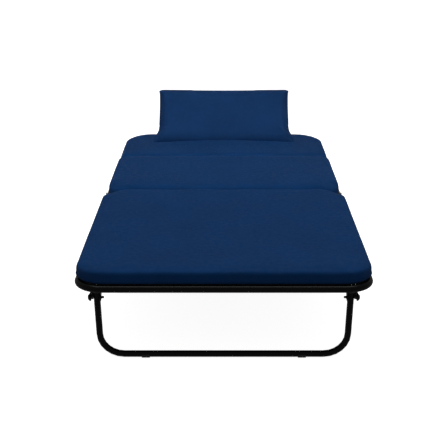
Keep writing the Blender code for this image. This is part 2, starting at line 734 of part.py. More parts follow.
def build_backrest(deck):
    """The lifting frame at the head, with its slats, mattress panel and the pillow."""
    backrest = axis_empty("backrest", (0, BACK_HINGE_Y, DECK_Z), deck)
    finish("backrest_frame", backrest_frame(), steel, backrest)
    for number, y in enumerate(BACK_SLATS_Y, 1):
        finish(f"backrest_slat_{number}", slat(y, BACK_SLAT_HALF), steel, backrest)
    corners, edges = (PAD_INNER_CORNER, PAD_CORNERS[1]), (PAD_EDGE_R * 0.8, PAD_EDGE_R)
    panel = pad("panel", PAD_HALF, (HEAD_START_Y, PAD_END_Y), corners, edges, (HEAD_START_TILT, 0))
    finish("head_mattress", panel, fabric, backrest)
    finish("pillow", pillow(), fabric, axis_empty("pillow_lift", (0, 0.83, PAD_TOP), backrest))


def main():
    """Build the whole bed."""
    base = build_base()
    build_casters(base)
    build_foot(base)
    build_head(base)


main()
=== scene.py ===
import json
import math

import bmesh
import bpy
import numpy as np
from mathutils import Matrix, Vector
from mathutils.bvhtree import BVHTree


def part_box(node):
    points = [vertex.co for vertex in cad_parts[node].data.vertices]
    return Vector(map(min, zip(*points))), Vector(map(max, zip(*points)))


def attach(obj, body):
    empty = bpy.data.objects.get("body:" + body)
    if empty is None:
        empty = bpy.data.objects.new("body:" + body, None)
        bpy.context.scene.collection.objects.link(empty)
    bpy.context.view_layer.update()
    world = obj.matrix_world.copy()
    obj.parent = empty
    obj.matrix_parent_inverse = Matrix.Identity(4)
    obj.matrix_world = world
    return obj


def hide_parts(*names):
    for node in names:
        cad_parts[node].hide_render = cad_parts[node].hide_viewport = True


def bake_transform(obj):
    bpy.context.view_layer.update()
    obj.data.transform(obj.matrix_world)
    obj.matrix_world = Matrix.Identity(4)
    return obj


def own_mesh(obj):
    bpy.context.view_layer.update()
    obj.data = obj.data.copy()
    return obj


# A half-fold rollaway bed: soft goods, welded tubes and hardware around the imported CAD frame.
# X runs across the bed, Y along it with the head at +Y, Z up. All sizes are in metres.

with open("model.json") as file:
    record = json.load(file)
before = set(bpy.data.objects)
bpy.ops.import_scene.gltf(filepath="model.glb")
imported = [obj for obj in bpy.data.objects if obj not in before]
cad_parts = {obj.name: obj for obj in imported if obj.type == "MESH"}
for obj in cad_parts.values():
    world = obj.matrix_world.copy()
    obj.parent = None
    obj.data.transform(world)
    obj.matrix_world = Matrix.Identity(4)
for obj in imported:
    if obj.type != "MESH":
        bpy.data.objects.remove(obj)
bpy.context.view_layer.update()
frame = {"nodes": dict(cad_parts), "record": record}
BOTH = (-1, 1)  # the left and right sides, or the foot and head ends
SIDES = ("left", "right")
ENDS = ((-1, "foot"), (1, "head"))
PIVOTS = {joint["name"]: joint.get("pos_m") for joint in frame["record"]["behaviour"]["joints"]}

# Frame sizes, read from the CAD nodes
DECK_LOW, DECK_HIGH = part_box("foot_frame")
RAIL_R = (DECK_HIGH.z - DECK_LOW.z) / 2
DECK_Z = (DECK_HIGH.z + DECK_LOW.z) / 2
RAIL_X = DECK_HIGH.x - RAIL_R
END_Y = -DECK_LOW.y - RAIL_R
RAIL_END_Y = -DECK_HIGH.y
CORNER_R = 0.080
CROSS_R = 0.011
LEG_PIVOT_Y = abs(PIVOTS["foot_leg_swing"][1])
MID_CROSS_Y = 0.455
_, LINK_Y, LINK_Z = map(abs, PIVOTS["foot_link_swing"])
FOLD_Y = abs(PIVOTS["foot_fold"][1])
LINK_LEG_Y = LEG_PIVOT_Y + LINK_Y - FOLD_Y

# Legs
LEG_R = 0.011
LEG_TOP_X = 0.4070
LEG_FOOT_Y = 0.874
LEG_FOOT_Z = 0.0135
LEG_ABOVE_BOLT = 0.020
KNEE_X = (0.3940, 0.3990)
LEG_SHOULDER_R = 0.0068  # the spacer and the washer on a leg's bolt
LEG_STUB_X = 0.3842  # the bolt's inner end
LINK_X, EYE_HALF = 0.4285, 0.0028  # the rods, and half the width of their eyes with a gap

# Backrest
BACK_HINGE_Y = PIVOTS["backrest_lift"][1]
BACK_START_Y = BACK_HINGE_Y - 0.005
BACK_X = 0.430
BACK_R = 0.011
BACK_Z = DECK_Z + RAIL_R - BACK_R
BACK_END_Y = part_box("backrest_frame")[1].y - BACK_R
BACK_CORNER_R = 0.060
BACK_CROSS_Y = 0.578
BACK_CROSS_R = 0.009
RATCHET_DISC_X = (0.4370, 0.4515)
RATCHET_R = 0.0148

# Undercarriage
BASE_X, BASE_Z, BASE_R = 0.430, 0.080, 0.0125
BASE_END_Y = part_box("base_side_right")[1].y
PLATE_WELD = 0.4396, 0.0880, 0.155  # x and z of the weld inside a hinge plate, and half its length

# Mattress
PAD_LOW, PAD_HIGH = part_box("foot_mattress")
HEAD_LOW, HEAD_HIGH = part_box("head_mattress")
PAD_TOP = PAD_HIGH.z
FOOT_CORNERS = 0.098, 0.084  # radii at the end nearer the foot, and at the other
HEAD_CORNERS = 0.078, 0.140
SAG = 0.0040  # how far a panel's base hangs inside the bent tube
HINGE_SEAM_Y = (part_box("seat_mattress")[1].y + HEAD_LOW.y) / 2
SEAM_ROW = 0.0125  # from the sewn hinge to each row of stitches
END_EDGE, SIDE_EDGE, UNDER_EDGE = 0.026, 0.014, 0.004  # edge radii at the fold, at the sides and below
FOOT_EDGE = 0.007  # the foot panel's upper edge at the foot
FILL_RISE = 0.0035  # a panel starts this much lower, because filling lifts its top
PANEL_VOXEL, PANEL_CAP = 0.0075, 0.0055
FOLD_GAP = 0.0055  # from the centre fold to each panel's end
END_GAP = 0.001
WELT_R, WELT_HEIGHT, WELT_STAND = 0.0017, 0.0075, 0.0006
SLATS = {
    kind: sorted(name for name in frame["nodes"] if name.startswith(f"{kind}_slat"))
    for kind in ("foot", "seat", "backrest")
}


# ---- mesh helpers


def coords(item, kind="co"):
    """A mesh object's points as an array, or its points' normals."""
    flat = np.empty(len(item.data.vertices) * 3)
    item.data.vertices.foreach_get(kind, flat)
    return flat.reshape(-1, 3)


def set_coords(item, points):
    """Write points back to a mesh object."""
    item.data.vertices.foreach_set("co", points.ravel())
    item.data.update()


def add_object(name, data):
    """Add an object to the scene."""
    item = bpy.data.objects.new(name, data)
    bpy.context.scene.collection.objects.link(item)
    return item


def from_form(name, form):
    """Turn a bmesh into an object."""
    mesh = bpy.data.meshes.new(name)
    form.to_mesh(mesh)
    form.free()
    return add_object(name, mesh)


def applied(item):
    """Apply every modifier of an object."""
    bpy.context.view_layer.update()
    evaluated = item.evaluated_get(bpy.context.evaluated_depsgraph_get())
    mesh = bpy.data.meshes.new_from_object(evaluated)
    item.modifiers.clear()
    item.data = mesh
    return item


def add_tube(form, points, radius, segments, closed=False):
    """Add a round tube along a path to a bmesh. radius is a number, or one for each point."""
    points = [Vector(point) for point in points]
    count = len(points)
    radii = radius if hasattr(radius, "__len__") else [radius] * count
    tangents = []
    for i, point in enumerate(points):
        before = points[i - 1] if i or closed else point
        after = points[(i + 1) % count] if i + 1 < count or closed else point
        tangents.append((after - before).normalized())
    across = tangents[0].orthogonal().normalized()
    rings = []
    for i, point in enumerate(points):
        across = (across - tangents[i] * across.dot(tangents[i])).normalized()
        other = tangents[i].cross(across)
        ring = []
        for k in range(segments):
            angle = 2 * math.pi * k / segments
            outward = across * math.cos(angle) + other * math.sin(angle)
            ring.append(form.verts.new(point + outward * radii[i]))
        rings.append(ring)
    shift = 0
    if closed:
        first = rings[0][0].co
        shift = min(range(segments), key=lambda k: (rings[-1][k].co - first).length)
    for i in range(count if closed else count - 1):
        low, high = rings[i], rings[(i + 1) % count]
        for k in range(segments):
            n = (k + 1) % segments
            wrap = shift if closed and i == count - 1 else 0
            a, b = low[(k + wrap) % segments], low[(n + wrap) % segments]
            form.faces.new((a, b, high[n], high[k]))
    if not closed:
        form.faces.new(reversed(rings[0]))
        form.faces.new(rings[-1])


def add_turned(form, profile, place, segments=32, closed=False):
    """Add a turned shape: (radius, height) points about local Z, moved by a matrix."""
    rings = []
    for radius, height in profile:
        if radius < 1e-6:
            rings.append([form.verts.new(place @ Vector((0, 0, height)))])
            continue
        ring = []
        for k in range(segments):
            angle = 2 * math.pi * k / segments
            spot = Vector((radius * math.cos(angle), radius * math.sin(angle), height))
            ring.append(form.verts.new(place @ spot))
        rings.append(ring)
    pairs = list(zip(rings, rings[1:]))
    if closed:
        pairs.append((rings[-1], rings[0]))
    for low, high in pairs:
        for k in range(segments):
            n = (k + 1) % segments
            loop = [low[k % len(low)], low[n % len(low)], high[n % len(high)], high[k % len(high)]]
            unique = list(dict.fromkeys(loop))
            if len(unique) > 2:
                form.faces.new(unique)


def arc(center, radius, start, end, steps):
    """Points on an arc, with angles in degrees from the first coordinate's axis."""
    angles = [math.radians(start + (end - start) * i / steps) for i in range(steps + 1)]
    return [(center[0] + radius * math.cos(a), center[1] + radius * math.sin(a)) for a in angles]


def turned(degrees, axis):
    """A rotation matrix about one axis."""
    return Matrix.Rotation(math.radians(degrees), 4, axis)


def placed(x, y, z, degrees=0, axis="X"):
    """A matrix at a point, turned about one axis."""
    return Matrix.Translation((x, y, z)) @ turned(degrees, axis)


def x_place(x, y, z, side=1):
    """A matrix that lays local Z along X, towards side."""
    return placed(x, y, z, 90 * side, "Y")


def finish_piece(name, form, body, slot="black_powder_coat", smooth=40, look=None):
    """Turn a bmesh into a piece that rides on a body, in its slot's material or another look."""
    bmesh.ops.recalc_face_normals(form, faces=form.faces)
    item = from_form(name, form)
    dress(item, look or slot, smooth)
    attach(item, body)
    return item


def dress(item, look, smooth=0):
    """Give a piece its material and smooth shading. Edges sharper than smooth, in degrees, stay sharp."""
    item.data.materials.clear()
    item.data.materials.append(MATERIALS[look])
    item.data.shade_smooth()
    if smooth:
        item.data.set_sharp_from_angle(angle=math.radians(smooth))


# ---- materials


class Look:
    """A Principled material under construction, in object coordinates."""

    def __init__(self, name, **constants):
        self.material = bpy.data.materials.new(name)
        self.material.use_nodes = True
        self.tree = self.material.node_tree
        self.shader = self.tree.nodes["Principled BSDF"]
        for key, value in constants.items():
            self.shader.inputs[key.replace("_", " ")].default_value = value
        self.place = self.node("ShaderNodeTexCoord").outputs["Object"]
        self.normal = None

    def node(self, kind, inputs=None, **settings):
        """Add a node; inputs holds a value or a socket for each input's name or number."""
        item = self.tree.nodes.new(kind)
        for key, value in settings.items():
            setattr(item, key, value)
        for key, value in (inputs or {}).items():
            if isinstance(value, bpy.types.NodeSocket):
                self.tree.links.new(value, item.inputs[key])
            else:
                item.inputs[key].default_value = value
        return item

    def noise(self, scale, detail=2, roughness=0.5, stretch=(1, 1, 1)):
        """A noise value. stretch multiplies the coordinates."""
        place = self.node("ShaderNodeMapping", {"Vector": self.place, "Scale": stretch}).outputs[0]
        inputs = {"Vector": place, "Scale": scale, "Detail": detail, "Roughness": roughness}
        return self.node("ShaderNodeTexNoise", inputs).outputs[0]

    def math(self, operation, a, b=0.0):
        """One arithmetic step."""
        return self.node("ShaderNodeMath", {0: a, 1: b}, operation=operation).outputs[0]

    def fit(self, value, low, high, to_low, to_high):
        """Map a value's range to another, smoothly and clamped."""
        inputs = {0: value, 1: low, 2: high, 3: to_low, 4: to_high}
        return self.node("ShaderNodeMapRange", inputs, interpolation_type="SMOOTHSTEP").outputs[0]

    def blend(self, factor, a, b):
        """Mix two colours."""
        item = self.node("ShaderNodeMix", {"Factor": factor}, data_type="RGBA")
        for socket, value in ((item.inputs[6], a), (item.inputs[7], b)):
            if isinstance(value, bpy.types.NodeSocket):
                self.tree.links.new(value, socket)
            else:
                socket.default_value = (*value, 1)
        return item.outputs[2]

    def color(self, socket):
        """Use a socket as the base colour."""
        self.tree.links.new(socket, self.shader.inputs["Base Color"])

    def roughness(self, socket):
        """Use a socket as the roughness."""
        self.tree.links.new(socket, self.shader.inputs["Roughness"])

    def bump(self, height, strength, distance):
        """Add a bump layer over the ones before it."""
        inputs = {"Height": height, "Strength": strength, "Distance": distance}
        if self.normal:
            inputs["Normal"] = self.normal
        self.normal = self.node("ShaderNodeBump", inputs).outputs[0]
        self.tree.links.new(self.normal, self.shader.inputs["Normal"])


def weave_height(look, thread):
    """A plain weave's height that reads the same on faces of any direction."""
    split = look.node("ShaderNodeSeparateXYZ", {0: look.place})
    turns = math.pi / thread
    waves = [look.math("SINE", look.math("MULTIPLY", split.outputs[i], turns)) for i in range(3)]
    products = [look.math("MULTIPLY", waves[i], waves[(i + 1) % 3]) for i in range(3)]
    return look.math("ADD", look.math("ADD", products[0], products[1]), products[2])


def fabric_look(name, color, thread=0.0008, rumple=0.35):
    """Woven polyester: fine weave with painted shade in its hollows, yarn streaks, soft tone changes and
    a slight sheen.
    """
    sheen = {"Sheen_Weight": 0.02, "Sheen_Roughness": 0.45, "Sheen_Tint": (0.55, 0.7, 1.0, 1.0)}
    look = Look(name, Specular_IOR_Level=0.10, **sheen)
    # the darker tone serves the yarn streaks and the painted shade in the weave's hollows
    dark, light, streak_and_hollow_shade = (tuple(c * share for c in color) for share in (0.93, 1.06, 0.86))
    tone = look.blend(look.fit(look.noise(7, 3), 0.35, 0.65, 0, 1), dark, light)
    across = look.noise(1, 2, stretch=(30, 1500, 1500))
    along = look.noise(1, 2, stretch=(1500, 30, 1500))
    yarn = look.math("ADD", look.math("MULTIPLY", across, 0.5), look.math("MULTIPLY", along, 0.5))
    weave = weave_height(look, thread)
    tone = look.blend(look.fit(yarn, 0.35, 0.6, 0.30, 0), tone, streak_and_hollow_shade)
    # painted shade: the weave's hollows are drawn darker, up to 22%
    tone = look.blend(look.fit(weave, -1, 1, 0.22, 0), tone, streak_and_hollow_shade)
    look.color(tone)
    look.roughness(look.fit(look.noise(60, 3), 0.3, 0.7, 0.78, 0.92))
    look.bump(look.noise(16, 2, 0.4), rumple, 0.0012)
    look.bump(weave, 0.5, 0.00016)
    look.bump(yarn, 0.25, 0.0002)
    return look.material


def coat_look():
    """Gloss black powder coat: orange peel, dust in the film, and faint scuffs."""
    look = Look("black_powder_coat", Coat_Weight=0.05, Coat_Roughness=0.12, Specular_IOR_Level=0.10)
    scuff = look.fit(look.noise(38, 6, 0.72, (1, 3, 1)), 0.60, 0.72, 0, 1)
    grime = look.fit(look.noise(6, 4, 0.6), 0.4, 0.75, 0, 0.6)
    tone = look.blend(scuff, (0.0022, 0.0022, 0.0023), (0.0065, 0.0065, 0.0068))
    look.color(look.blend(grime, tone, (0.0038, 0.0037, 0.0035)))
    haze = look.fit(look.noise(90, 4), 0.3, 0.7, 0.20, 0.30)
    look.roughness(look.math("ADD", haze, look.math("MULTIPLY", scuff, 0.18)))
    look.bump(look.noise(520, 1, 0.3), 0.07, 0.0002)
    look.bump(look.noise(60, 3), 0.03, 0.0004)
    return look.material


def zinc_look():
    """Blackened zinc: brushed, with brighter worn patches."""
    look = Look("dark_zinc", Metallic=0.9)
    worn = look.fit(look.noise(300, 5, 0.65), 0.52, 0.70, 0, 1)
    look.color(look.blend(worn, (0.035, 0.035, 0.037), (0.16, 0.155, 0.15)))
    look.roughness(look.fit(look.noise(200, 4, 0.6, (6, 1, 1)), 0.3, 0.7, 0.26, 0.48))
    look.bump(look.noise(700, 2, 0.5, (5, 1, 1)), 0.15, 0.0002)
    return look.material


def rubber_look(name, tone, dusty):
    """Matt rubber with a fine grain and dust where it meets the floor."""
    look = Look(name, Specular_IOR_Level=0.3)
    height = look.node("ShaderNodeSeparateXYZ", {0: look.place}).outputs[2]
    low = look.fit(height, 0.0, 0.02, dusty, 0)
    dust = look.math("MULTIPLY", low, look.fit(look.noise(160, 5, 0.7), 0.35, 0.65, 0.2, 1))
    look.color(look.blend(dust, (tone, tone, tone * 1.03), (0.10, 0.095, 0.088)))
    look.roughness(look.fit(look.noise(120, 3), 0.3, 0.7, 0.68, 0.85))
    look.bump(look.noise(1300, 2, 0.6), 0.3, 0.0002)
    return look.material


def plastic_look(name, tone):
    """Black moulded plastic with a spark-eroded texture and rubbed high spots."""
    look = Look(name, Specular_IOR_Level=0.4)
    rub = look.fit(look.noise(120, 5, 0.65), 0.58, 0.74, 0, 0.6)
    look.color(look.blend(rub, (tone, tone, tone * 1.04), (tone * 2.2, tone * 2.2, tone * 2.2)))
    look.roughness(look.fit(look.noise(240, 3), 0.3, 0.7, 0.42, 0.56))
    look.bump(look.noise(1500, 2, 0.6), 0.28, 0.00025)
    return look.material


NAVY = (0.0014, 0.0300, 0.1130)
PILLOW_NAVY = (0.0038, 0.0279, 0.0968)
MATERIALS = {
    "mattress_cover": fabric_look("mattress_cover", NAVY),
    "pillow_cover": fabric_look("pillow_cover", PILLOW_NAVY, thread=0.0006, rumple=0.3),
    "underside": fabric_look("mattress_underside", (0.011, 0.012, 0.014), thread=0.0014, rumple=0.5),
    "piping": fabric_look("piping", tuple(c * 0.72 for c in NAVY), thread=0.0005, rumple=0.1),
    "thread": fabric_look("thread", tuple(c * 1.15 for c in NAVY), thread=0.0003, rumple=0.1),
    "black_powder_coat": coat_look(),
    "dark_zinc": zinc_look(),
    "rubber_pad": rubber_look("rubber_pad", 0.010, 0.5),
    "wheel_rubber": rubber_look("wheel_rubber", 0.014, 0.7),
    "black_plastic": plastic_look("black_plastic", 0.012),
    "wheel_hub": plastic_look("wheel_hub", 0.030),
}


def dress_nodes():
    """Give each CAD node the material of its slot."""
    for row in frame["record"]["subparts"]:
        node = frame["nodes"][row["node"]]
        for place in node.material_slots:
            place.link = "OBJECT"
            place.material = MATERIALS[row["material_slot"]]


# ---- soft goods


def plan_outline(half, y_range, corners, steps=10):
    """A rounded rectangle's points and outward normals in plan."""
    near, far = y_range
    points, normals = [], []
    for sign_x, sign_y, start in ((-1, -1, 180), (1, -1, 270), (1, 1, 0), (-1, 1, 90)):
        radius, y = (corners[0], near) if sign_y < 0 else (corners[1], far)
        center = (sign_x * (half - radius), y - sign_y * radius)
        for x, y_point in arc(center, radius, start, start + 90, steps):
            points.append((x, y_point))
            normals.append(Vector((x - center[0], y_point - center[1])).normalized())
    return points, normals


def edge_inset(radius, z, low, high, low_radius):
    """How far a rounded side stands back at height z."""
    if z < low + low_radius and z <= high - radius:
        radius, past = low_radius, low + low_radius - z
    else:
        past = max(z - high + radius, 0)
    return radius - math.sqrt(max(radius**2 - past**2, 0))


def pad_form(half, y_range, z_range, corners, edges, side_edge, under):
    """A closed panel: corner radii in plan, and edge radii at the near end, the far end and the sides."""
    low, high = z_range
    biggest = max(*edges, side_edge)
    quarter = [math.pi / 2 * i / 8 for i in range(9)]
    levels = {low + under * (1 - math.cos(a)) for a in quarter}
    levels |= {high - biggest * (1 - math.sin(a)) for a in quarter}
    form = bmesh.new()
    rings = []
    for z in sorted(levels):
        side = half - edge_inset(side_edge, z, low, high, under)
        near = y_range[0] + edge_inset(edges[0], z, low, high, under)
        far = y_range[1] - edge_inset(edges[1], z, low, high, under)
        points = plan_outline(side, (near, far), corners)[0]
        rings.append([form.verts.new((x, y, z)) for x, y in points])
    for low_ring, high_ring in zip(rings, rings[1:]):
        for i, corner in enumerate(low_ring):
            n = (i + 1) % len(low_ring)
            form.faces.new((corner, low_ring[n], high_ring[n], high_ring[i]))
    form.faces.new(reversed(rings[0]))
    form.faces.new(rings[-1])
    return form


def remeshed(item, voxel):
    """Rebuild a closed form as even quads."""
    remesh = item.modifiers.new("remesh", "REMESH")
    remesh.mode = "VOXEL"
    remesh.voxel_size = voxel
    return applied(item)


def blown_up(item, pressure, bending, frames=20):
    """Where a cover's points go when cloth simulation fills it with air."""
    settings = item.modifiers.new("Cloth", "CLOTH").settings
    settings.quality = 4
    settings.mass = 0.3
    settings.tension_stiffness = 15
    settings.compression_stiffness = 15
    settings.shear_stiffness = 8
    settings.bending_stiffness = bending
    settings.use_pressure = True
    settings.uniform_pressure_force = pressure
    settings.effector_weights.gravity = 0
    scene = bpy.context.scene
    for number in range(1, frames + 1):
        scene.frame_set(number)
    evaluated = item.evaluated_get(bpy.context.evaluated_depsgraph_get())
    points = coords(evaluated)
    item.modifiers.clear()
    scene.frame_set(1)
    return points


def inflated(item, cap, pairs, pressure=4.0, bending=2.0, base=None):
    """Fill a cover. No point moves further than cap, and it stays flat near base.

    pairs has each axis along which the cover gets its size back, and the axis that this varies with.
    """
    rest = coords(item)
    moved = blown_up(item, pressure, bending) - rest
    length = np.linalg.norm(moved, axis=1, keepdims=True) + 1e-9
    points = rest + moved * (cap * np.tanh(length / cap) / length)
    for axis, other in pairs:
        points = regained(points, rest, axis, other)
    if base is not None:
        held = 1 - ramp(rest[:, 2], base + 0.004, base + 0.020)
        points += (rest - points) * held[:, None]
    set_coords(item, points)
    return item


def regained(points, rest, axis, other, share=0.85, bins=48):
    """Widen a filled cover back along an axis, because filling it pulls its edges in."""
    edges = np.linspace(rest[:, other].min() - 1e-6, rest[:, other].max() + 1e-6, bins + 1)
    middles = (edges[:-1] + edges[1:]) / 2
    factors = [np.ones(bins), np.ones(bins)]
    center = (rest[:, axis].min() + rest[:, axis].max()) / 2

    def in_bin(places, i):
        chosen = (places[:, other] >= edges[i]) & (places[:, other] < edges[i + 1])
        return places[chosen, axis] - center

    for i in range(bins):
        old, new = in_bin(rest, i), in_bin(points, i)
        if len(old) and len(new):
            factors[0][i] = np.clip(old.min() / min(new.min(), -1e-3), 1, 1.08)
            factors[1][i] = np.clip(old.max() / max(new.max(), 1e-3), 1, 1.08)
    for row in factors:
        padded = np.concatenate([[row[0]] * 2, row, [row[-1]] * 2])
        row[:] = np.convolve(padded, [0.1, 0.2, 0.4, 0.2, 0.1], "valid")
    low = np.interp(points[:, other], middles, factors[0])
    high = np.interp(points[:, other], middles, factors[1])
    away = points[:, axis] - center
    factor = np.where(away < 0, low, high)
    points[:, axis] = center + away * (1 + share * (factor - 1))
    return points


def subdivided(item):
    """Smooth a cover with one subdivision."""
    item.modifiers.new("smooth", "SUBSURF").levels = 1
    return applied(item)


def bell(distance, width):
    """A smooth bump of height 1 at distance 0."""
    return np.exp(-((distance / width) ** 2))


def ramp(value, low, high):
    """A smooth step from 0 at low to 1 at high."""
    t = np.clip((value - low) / (high - low), 0, 1)
    return t * t * (3 - 2 * t)


def swell(points, seed, size):
    """Gentle unevenness of stuffing: a sum of long waves across the top."""
    rng = np.random.default_rng(seed)
    total = np.zeros(len(points))
    for _ in range(9):
        direction = rng.uniform(0, 2 * math.pi)
        length = rng.uniform(0.12, 0.42)
        phase = rng.uniform(0, 2 * math.pi)
        along = points[:, 0] * math.cos(direction) + points[:, 1] * math.sin(direction)
        total += np.sin(2 * math.pi * along / length + phase)
    return total * size / 3


def inside_ring(points):
    """How far each point lies inside the deck's bent tube, measured from the tube's centre line."""
    past = np.abs(points[:, :2]) - (RAIL_X - CORNER_R, END_Y - CORNER_R)
    outer = np.linalg.norm(np.maximum(past, 0), axis=1)
    return CORNER_R - outer - np.minimum(past.max(axis=1), 0)


def settle(points, slats, low):
    """Rest a panel on its slats. Its base sags between them and in the bent tube, clear of the plates."""
    held = np.zeros(len(points))
    for name in slats:
        slat_low, slat_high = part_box(name)
        away = np.abs(points[:, 1] - (slat_low.y + slat_high.y) / 2)
        held = np.maximum(held, 1 - ramp(away, 0.0165, 0.029))
    drop = (low - DECK_HIGH.z - 0.0002) * (1 - held)
    inside = inside_ring(points)
    wrap = RAIL_R - np.sqrt(np.maximum(RAIL_R**2 - np.maximum(inside, 0) ** 2, (RAIL_R - SAG) ** 2))
    drop += wrap * (1 - ramp(inside, RAIL_R, 0.036)) * (1 - held)
    away = np.abs(points[:, :2])
    near_plates = (1 - ramp(away[:, 1], 0.125, 0.165)) * (1 - ramp(away[:, 0], 0.448, 0.458))
    drop *= 1 - near_plates
    points[:, 2] -= drop * (1 - ramp(points[:, 2], low + 0.006, low + 0.026))
    points[:, 2] = np.maximum(points[:, 2], low - drop)
    return points


def surface(item):
    """A ray caster for a piece."""
    places = [vertex.co for vertex in item.data.vertices]
    return BVHTree.FromPolygons(places, [polygon.vertices for polygon in item.data.polygons])


def side_path(tree, half, y_range, corners, z, stand, step=0.02):
    """Where a panel's side is at height z, all the way round, moved outward by stand."""
    points, normals = plan_outline(half, y_range, corners, 12)
    path = []
    for i, (point, normal) in enumerate(zip(points, normals)):
        n = (i + 1) % len(points)
        parts = max(1, int(math.dist(point, points[n]) / step))
        for k in range(parts):
            x, y = (a + (b - a) * (k / parts) for a, b in zip(point, points[n]))
            outward = normal.lerp(normals[n], k / parts).normalized().to_3d()
            start = Vector((x, y, z)) + outward * 0.05
            hit = tree.ray_cast(start, -outward)[0]
            if hit is not None:
                path.append(hit + outward * stand)
    return path


def paint_underside(item, level):
    """Use the second material on the faces that lie on the slats."""
    item.data.materials.append(MATERIALS["underside"])
    for polygon in item.data.polygons:
        if polygon.normal.z < -0.6 and polygon.center.z < level:
            polygon.material_index = 1


def add_stitches(form, path, length=0.0042, gap=0.0028, radius=0.0005, lift=0.0002):
    """Add a row of short raised stitches along a path, with each point's normal."""
    since = 0.0
    for (start, normal), (end, _) in zip(path, path[1:]):
        span = (end - start).length
        direction = (end - start).normalized()
        while since < span:
            tip = min(since + length, span)
            if tip - since > length * 0.5:
                a, b = start + direction * since, start + direction * tip
                middle = (a + b) / 2 + normal * (radius + lift)
                add_tube(form, [a, middle, b], [radius * 0.6, radius, radius * 0.6], 6)
            since += length + gap
        since -= span


def panel_form(name, half, y_range, low, corners, edges):
    """A mattress cover before it is filled."""
    z_range = low, PAD_TOP - FILL_RISE
    form = pad_form(half, y_range, z_range, corners, edges, SIDE_EDGE, UNDER_EDGE)
    return remeshed(from_form(name, form), PANEL_VOXEL)


def drop_corners(points, low, amount, reach):
    """Lower a panel's corners beside the centre fold."""
    corner = ramp(np.abs(points[:, 0]), 0.38, 0.475) * ramp(-np.abs(points[:, 1]), -reach, -0.01)
    points[:, 2] -= amount * corner * ramp(points[:, 2], low, PAD_TOP)


def filled_panel(item, points, low):
    """A mattress cover with air in it, and its base still flat."""
    set_coords(item, points)
    return subdivided(inflated(item, PANEL_CAP, ((0, 1), (1, 0)), base=low))


def dress_panel(item, points, slats, low):
    """Lay a filled cover on its slats, and give it its fabric and its lining."""
    set_coords(item, settle(points, slats, low))
    dress(item, "mattress_cover")
    paint_underside(item, low + UNDER_EDGE)


def welt_form(tree, half, y_range, low, corners):
    """The cord along a panel's lower edge."""
    form = bmesh.new()
    path = side_path(tree, half, y_range, corners, low + WELT_HEIGHT, WELT_STAND)
    add_tube(form, path, WELT_R, 10, closed=True)
    return form


def foot_panel():
    """The half-length mattress panel at the foot."""
    low = PAD_LOW.z
    y_range = PAD_LOW.y + END_GAP, -FOLD_GAP
    half = PAD_HIGH.x + 0.002
    item = panel_form("foot_mattress_cover", half, y_range, low, FOOT_CORNERS, (FOOT_EDGE, END_EDGE))
    points = coords(item)
    drop_corners(points, low, 0.012, 0.13)
    item = filled_panel(item, points, low)
    points = coords(item)
    upper = ramp(points[:, 2], low + 0.02, PAD_TOP - 0.004)
    points[:, 2] += swell(points, 3, 0.0006) * upper
    dress_panel(item, points, SLATS["foot"], low)
    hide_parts("foot_mattress")
    form = welt_form(surface(item), half, (PAD_LOW.y, -FOLD_GAP - END_GAP), low, FOOT_CORNERS)
    finish_piece("foot_mattress_welt", form, "foot_deck", "mattress_cover", 0, "piping")
    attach(item, "foot_deck")


def top_path(tree, y, reach, step=0.006):
    """Points and normals across a panel's top at one y."""
    path = []
    count = int(2 * reach / step)
    for i in range(count + 1):
        x = -reach + 2 * reach * i / count
        hit, normal = tree.ray_cast(Vector((x, y, 0.5)), Vector((0, 0, -1)))[:2]
        if hit is not None:
            path.append((hit, normal))
    return path


def sew_hinge(points, low):
    """Make the head cover's top uneven, press the sewn hinge into it, and draw its sides in there."""
    upper = ramp(points[:, 2], low + 0.018, PAD_TOP - 0.004)
    away = points[:, 1] - HINGE_SEAM_Y
    points[:, 2] += swell(points, 11, 0.0006) * upper
    points[:, 2] -= (0.0100 * bell(away, 0.0085) + 0.0035 * bell(away, 0.026)) * upper
    pull = 0.009 * bell(away, 0.010) + 0.003 * bell(away, 0.025)
    sides = ramp(np.abs(points[:, 0]), 0.40, 0.47)
    points[:, 0] -= np.sign(points[:, 0]) * pull * sides


def head_trim(tree, half, low):
    """The head cover's cord, and the two rows of stitches beside its hinge."""
    form = welt_form(tree, half, (FOLD_GAP + END_GAP, HEAD_HIGH.y), low, HEAD_CORNERS)
    welt = from_form("head_mattress_welt", form)
    dress(welt, "piping")
    form = bmesh.new()
    for offset in (-SEAM_ROW, SEAM_ROW):
        add_stitches(form, top_path(tree, HINGE_SEAM_Y + offset, 0.455))
    stitches = from_form("hinge_seam_stitches", form)
    dress(stitches, "thread")
    return welt, stitches


def head_panels():
    """The seat and head panels, one cover with a sewn hinge between them."""
    low = HEAD_LOW.z
    y_range = FOLD_GAP, HEAD_HIGH.y - END_GAP
    half = HEAD_HIGH.x
    item = panel_form("head_mattress_cover", half, y_range, low, HEAD_CORNERS, (END_EDGE, SIDE_EDGE))
    points = coords(item)
    drop_corners(points, low, 0.010, 0.12)
    points[:, 0] *= 0.990 - 0.009 * ramp(points[:, 1], HINGE_SEAM_Y - 0.06, HINGE_SEAM_Y + 0.06)
    item = filled_panel(item, points, low)
    points = coords(item)
    sew_hinge(points, low)
    dress_panel(item, points, SLATS["seat"] + SLATS["backrest"], low)
    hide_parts("seat_mattress", "head_mattress")
    for piece in (item, *head_trim(surface(item), half, low)):
        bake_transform(piece)


# ---- pillow

